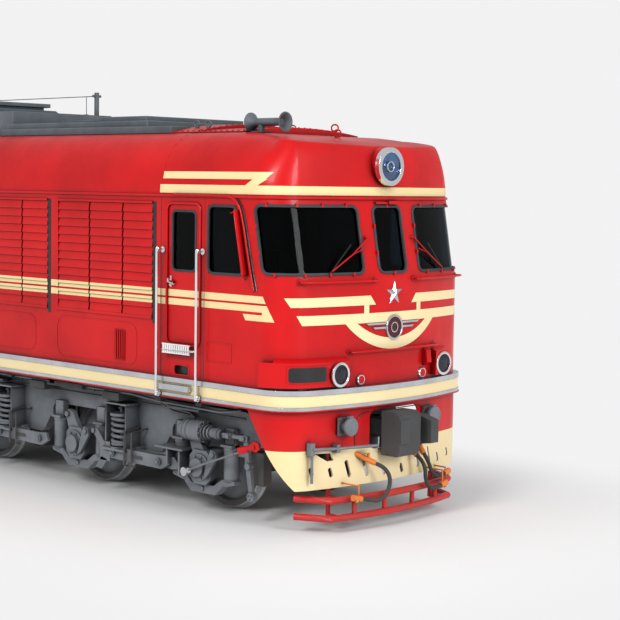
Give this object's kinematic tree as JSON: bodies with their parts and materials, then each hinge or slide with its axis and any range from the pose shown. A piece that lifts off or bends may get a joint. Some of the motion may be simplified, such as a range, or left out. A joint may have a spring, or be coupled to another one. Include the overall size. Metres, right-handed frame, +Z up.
{
  "type": "diesel locomotive",
  "caption": "Double-ended six-axle passenger diesel locomotive with bow-fronted cabs, louvred sides, inward-opening doors and swivelling three-axle bogies",
  "frame": {"origin": "middle of the length, on the centreline, on the floor under the wheel flanges", "axes": "+X forward towards the front cab, +Y left, +Z up"},
  "size_m": [19.25, 3.334, 5.0659],
  "materials": {
    "body_red": "gloss enamel",
    "trim_cream": "gloss enamel",
    "bright_metal": "polished steel",
    "running_gear_grey": "satin enamel",
    "roof_grey": "satin enamel",
    "dark_steel": "matt, oily",
    "wheel_steel": "worn steel",
    "window_glass": "clear, dark behind",
    "lamp_metal": "polished",
    "interior_paint": "satin",
    "seat_leather": "grained",
    "hose_rubber": "matt",
    "valve_orange": "enamel"
  },
  "bodies": {
    "car_body": {"underframe": "dark_steel", "front_cab": "body_red", "rear_cab": "body_red", "cab_roofs": "body_red", "right_side_wall": "body_red", "left_side_wall": "body_red", "roof": "body_red", "cab_glass": "window_glass", "cab_interiors": "interior_paint", "seats": "seat_leather", "belt": "trim_cream", "gutter": "body_red", "louvres": "body_red", "roof_hatches": "roof_grey", "cab_hatches": "body_red", "headlights": "lamp_metal", "buffer_lights": "body_red", "horns": "roof_grey", "antenna": "roof_grey", "aprons": "body_red", "pilots": "trim_cream", "guard_pipes": "body_red", "handrails": "bright_metal", "steps": "bright_metal", "fuel_tank": "running_gear_grey", "air_reservoirs": "running_gear_grey", "engine": "running_gear_grey", "jumper_sockets": "running_gear_grey", "uncoupling_levers": "running_gear_grey", "hose_cocks": "valve_orange", "hose_heads": "valve_orange", "front_long_hose": "hose_rubber", "front_feed_hose": "hose_rubber", "front_main_hose": "hose_rubber", "rear_long_hose": "hose_rubber", "rear_feed_hose": "hose_rubber", "rear_main_hose": "hose_rubber"},
    "right_front_door": {"right_front_door": "body_red"},
    "left_front_door": {"left_front_door": "body_red"},
    "right_rear_door": {"right_rear_door": "body_red"},
    "left_rear_door": {"left_rear_door": "body_red"},
    "front_bogie": {"front_bogie_frame": "running_gear_grey", "front_axle_boxes": "running_gear_grey", "front_springs": "running_gear_grey", "front_brake_gear": "running_gear_grey", "front_motors": "dark_steel"},
    "rear_bogie": {"rear_bogie_frame": "running_gear_grey", "rear_axle_boxes": "running_gear_grey", "rear_springs": "running_gear_grey", "rear_brake_gear": "running_gear_grey", "rear_motors": "dark_steel"},
    "wheelset_1": {"wheelset_1": "wheel_steel"},
    "wheelset_2": {"wheelset_2": "wheel_steel"},
    "wheelset_3": {"wheelset_3": "wheel_steel"},
    "wheelset_4": {"wheelset_4": "wheel_steel"},
    "wheelset_5": {"wheelset_5": "wheel_steel"},
    "wheelset_6": {"wheelset_6": "wheel_steel"},
    "front_coupler": {"front_coupler": "dark_steel"},
    "rear_coupler": {"rear_coupler": "dark_steel"}
  },
  "joints": [
    {"name": "right_front_door_hinge", "type": "hinge", "parent": "car_body", "child": "right_front_door", "pos_m": [7.713, -1.5, 2.78], "axis": [0, 0, -1], "range_deg": [0, 85]},
    {"name": "left_front_door_hinge", "type": "hinge", "parent": "car_body", "child": "left_front_door", "pos_m": [7.713, 1.5, 2.78], "axis": [0, 0, 1], "range_deg": [0, 85]},
    {"name": "right_rear_door_hinge", "type": "hinge", "parent": "car_body", "child": "right_rear_door", "pos_m": [-7.713, -1.5, 2.78], "axis": [0, 0, 1], "range_deg": [0, 85]},
    {"name": "left_rear_door_hinge", "type": "hinge", "parent": "car_body", "child": "left_rear_door", "pos_m": [-7.713, 1.5, 2.78], "axis": [0, 0, -1], "range_deg": [0, 85]},
    {"name": "front_bogie_pivot", "type": "hinge", "parent": "car_body", "child": "front_bogie", "pos_m": [5.2, 0, 1.128], "axis": [0, 0, 1], "range_deg": [-3, 3]},
    {"name": "rear_bogie_pivot", "type": "hinge", "parent": "car_body", "child": "rear_bogie", "pos_m": [-5.2, 0, 1.128], "axis": [0, 0, 1], "range_deg": [-3, 3]},
    {"name": "wheelset_1_turn", "type": "hinge", "parent": "front_bogie", "child": "wheelset_1", "pos_m": [7.5, 0, 0.553], "axis": [0, 1, 0], "continuous": true},
    {"name": "wheelset_2_turn", "type": "hinge", "parent": "front_bogie", "child": "wheelset_2", "pos_m": [5.2, 0, 0.553], "axis": [0, 1, 0], "continuous": true},
    {"name": "wheelset_3_turn", "type": "hinge", "parent": "front_bogie", "child": "wheelset_3", "pos_m": [2.9, 0, 0.553], "axis": [0, 1, 0], "continuous": true},
    {"name": "wheelset_4_turn", "type": "hinge", "parent": "rear_bogie", "child": "wheelset_4", "pos_m": [-2.9, 0, 0.553], "axis": [0, 1, 0], "continuous": true},
    {"name": "wheelset_5_turn", "type": "hinge", "parent": "rear_bogie", "child": "wheelset_5", "pos_m": [-5.2, 0, 0.553], "axis": [0, 1, 0], "continuous": true},
    {"name": "wheelset_6_turn", "type": "hinge", "parent": "rear_bogie", "child": "wheelset_6", "pos_m": [-7.5, 0, 0.553], "axis": [0, 1, 0], "continuous": true},
    {"name": "front_coupler_swing", "type": "hinge", "parent": "car_body", "child": "front_coupler", "pos_m": [8.7, 0, 1.088], "axis": [0, 0, 1], "range_deg": [-5, 5]},
    {"name": "rear_coupler_swing", "type": "hinge", "parent": "car_body", "child": "rear_coupler", "pos_m": [-8.7, 0, 1.088], "axis": [0, 0, 1], "range_deg": [-5, 5]}
  ]
}
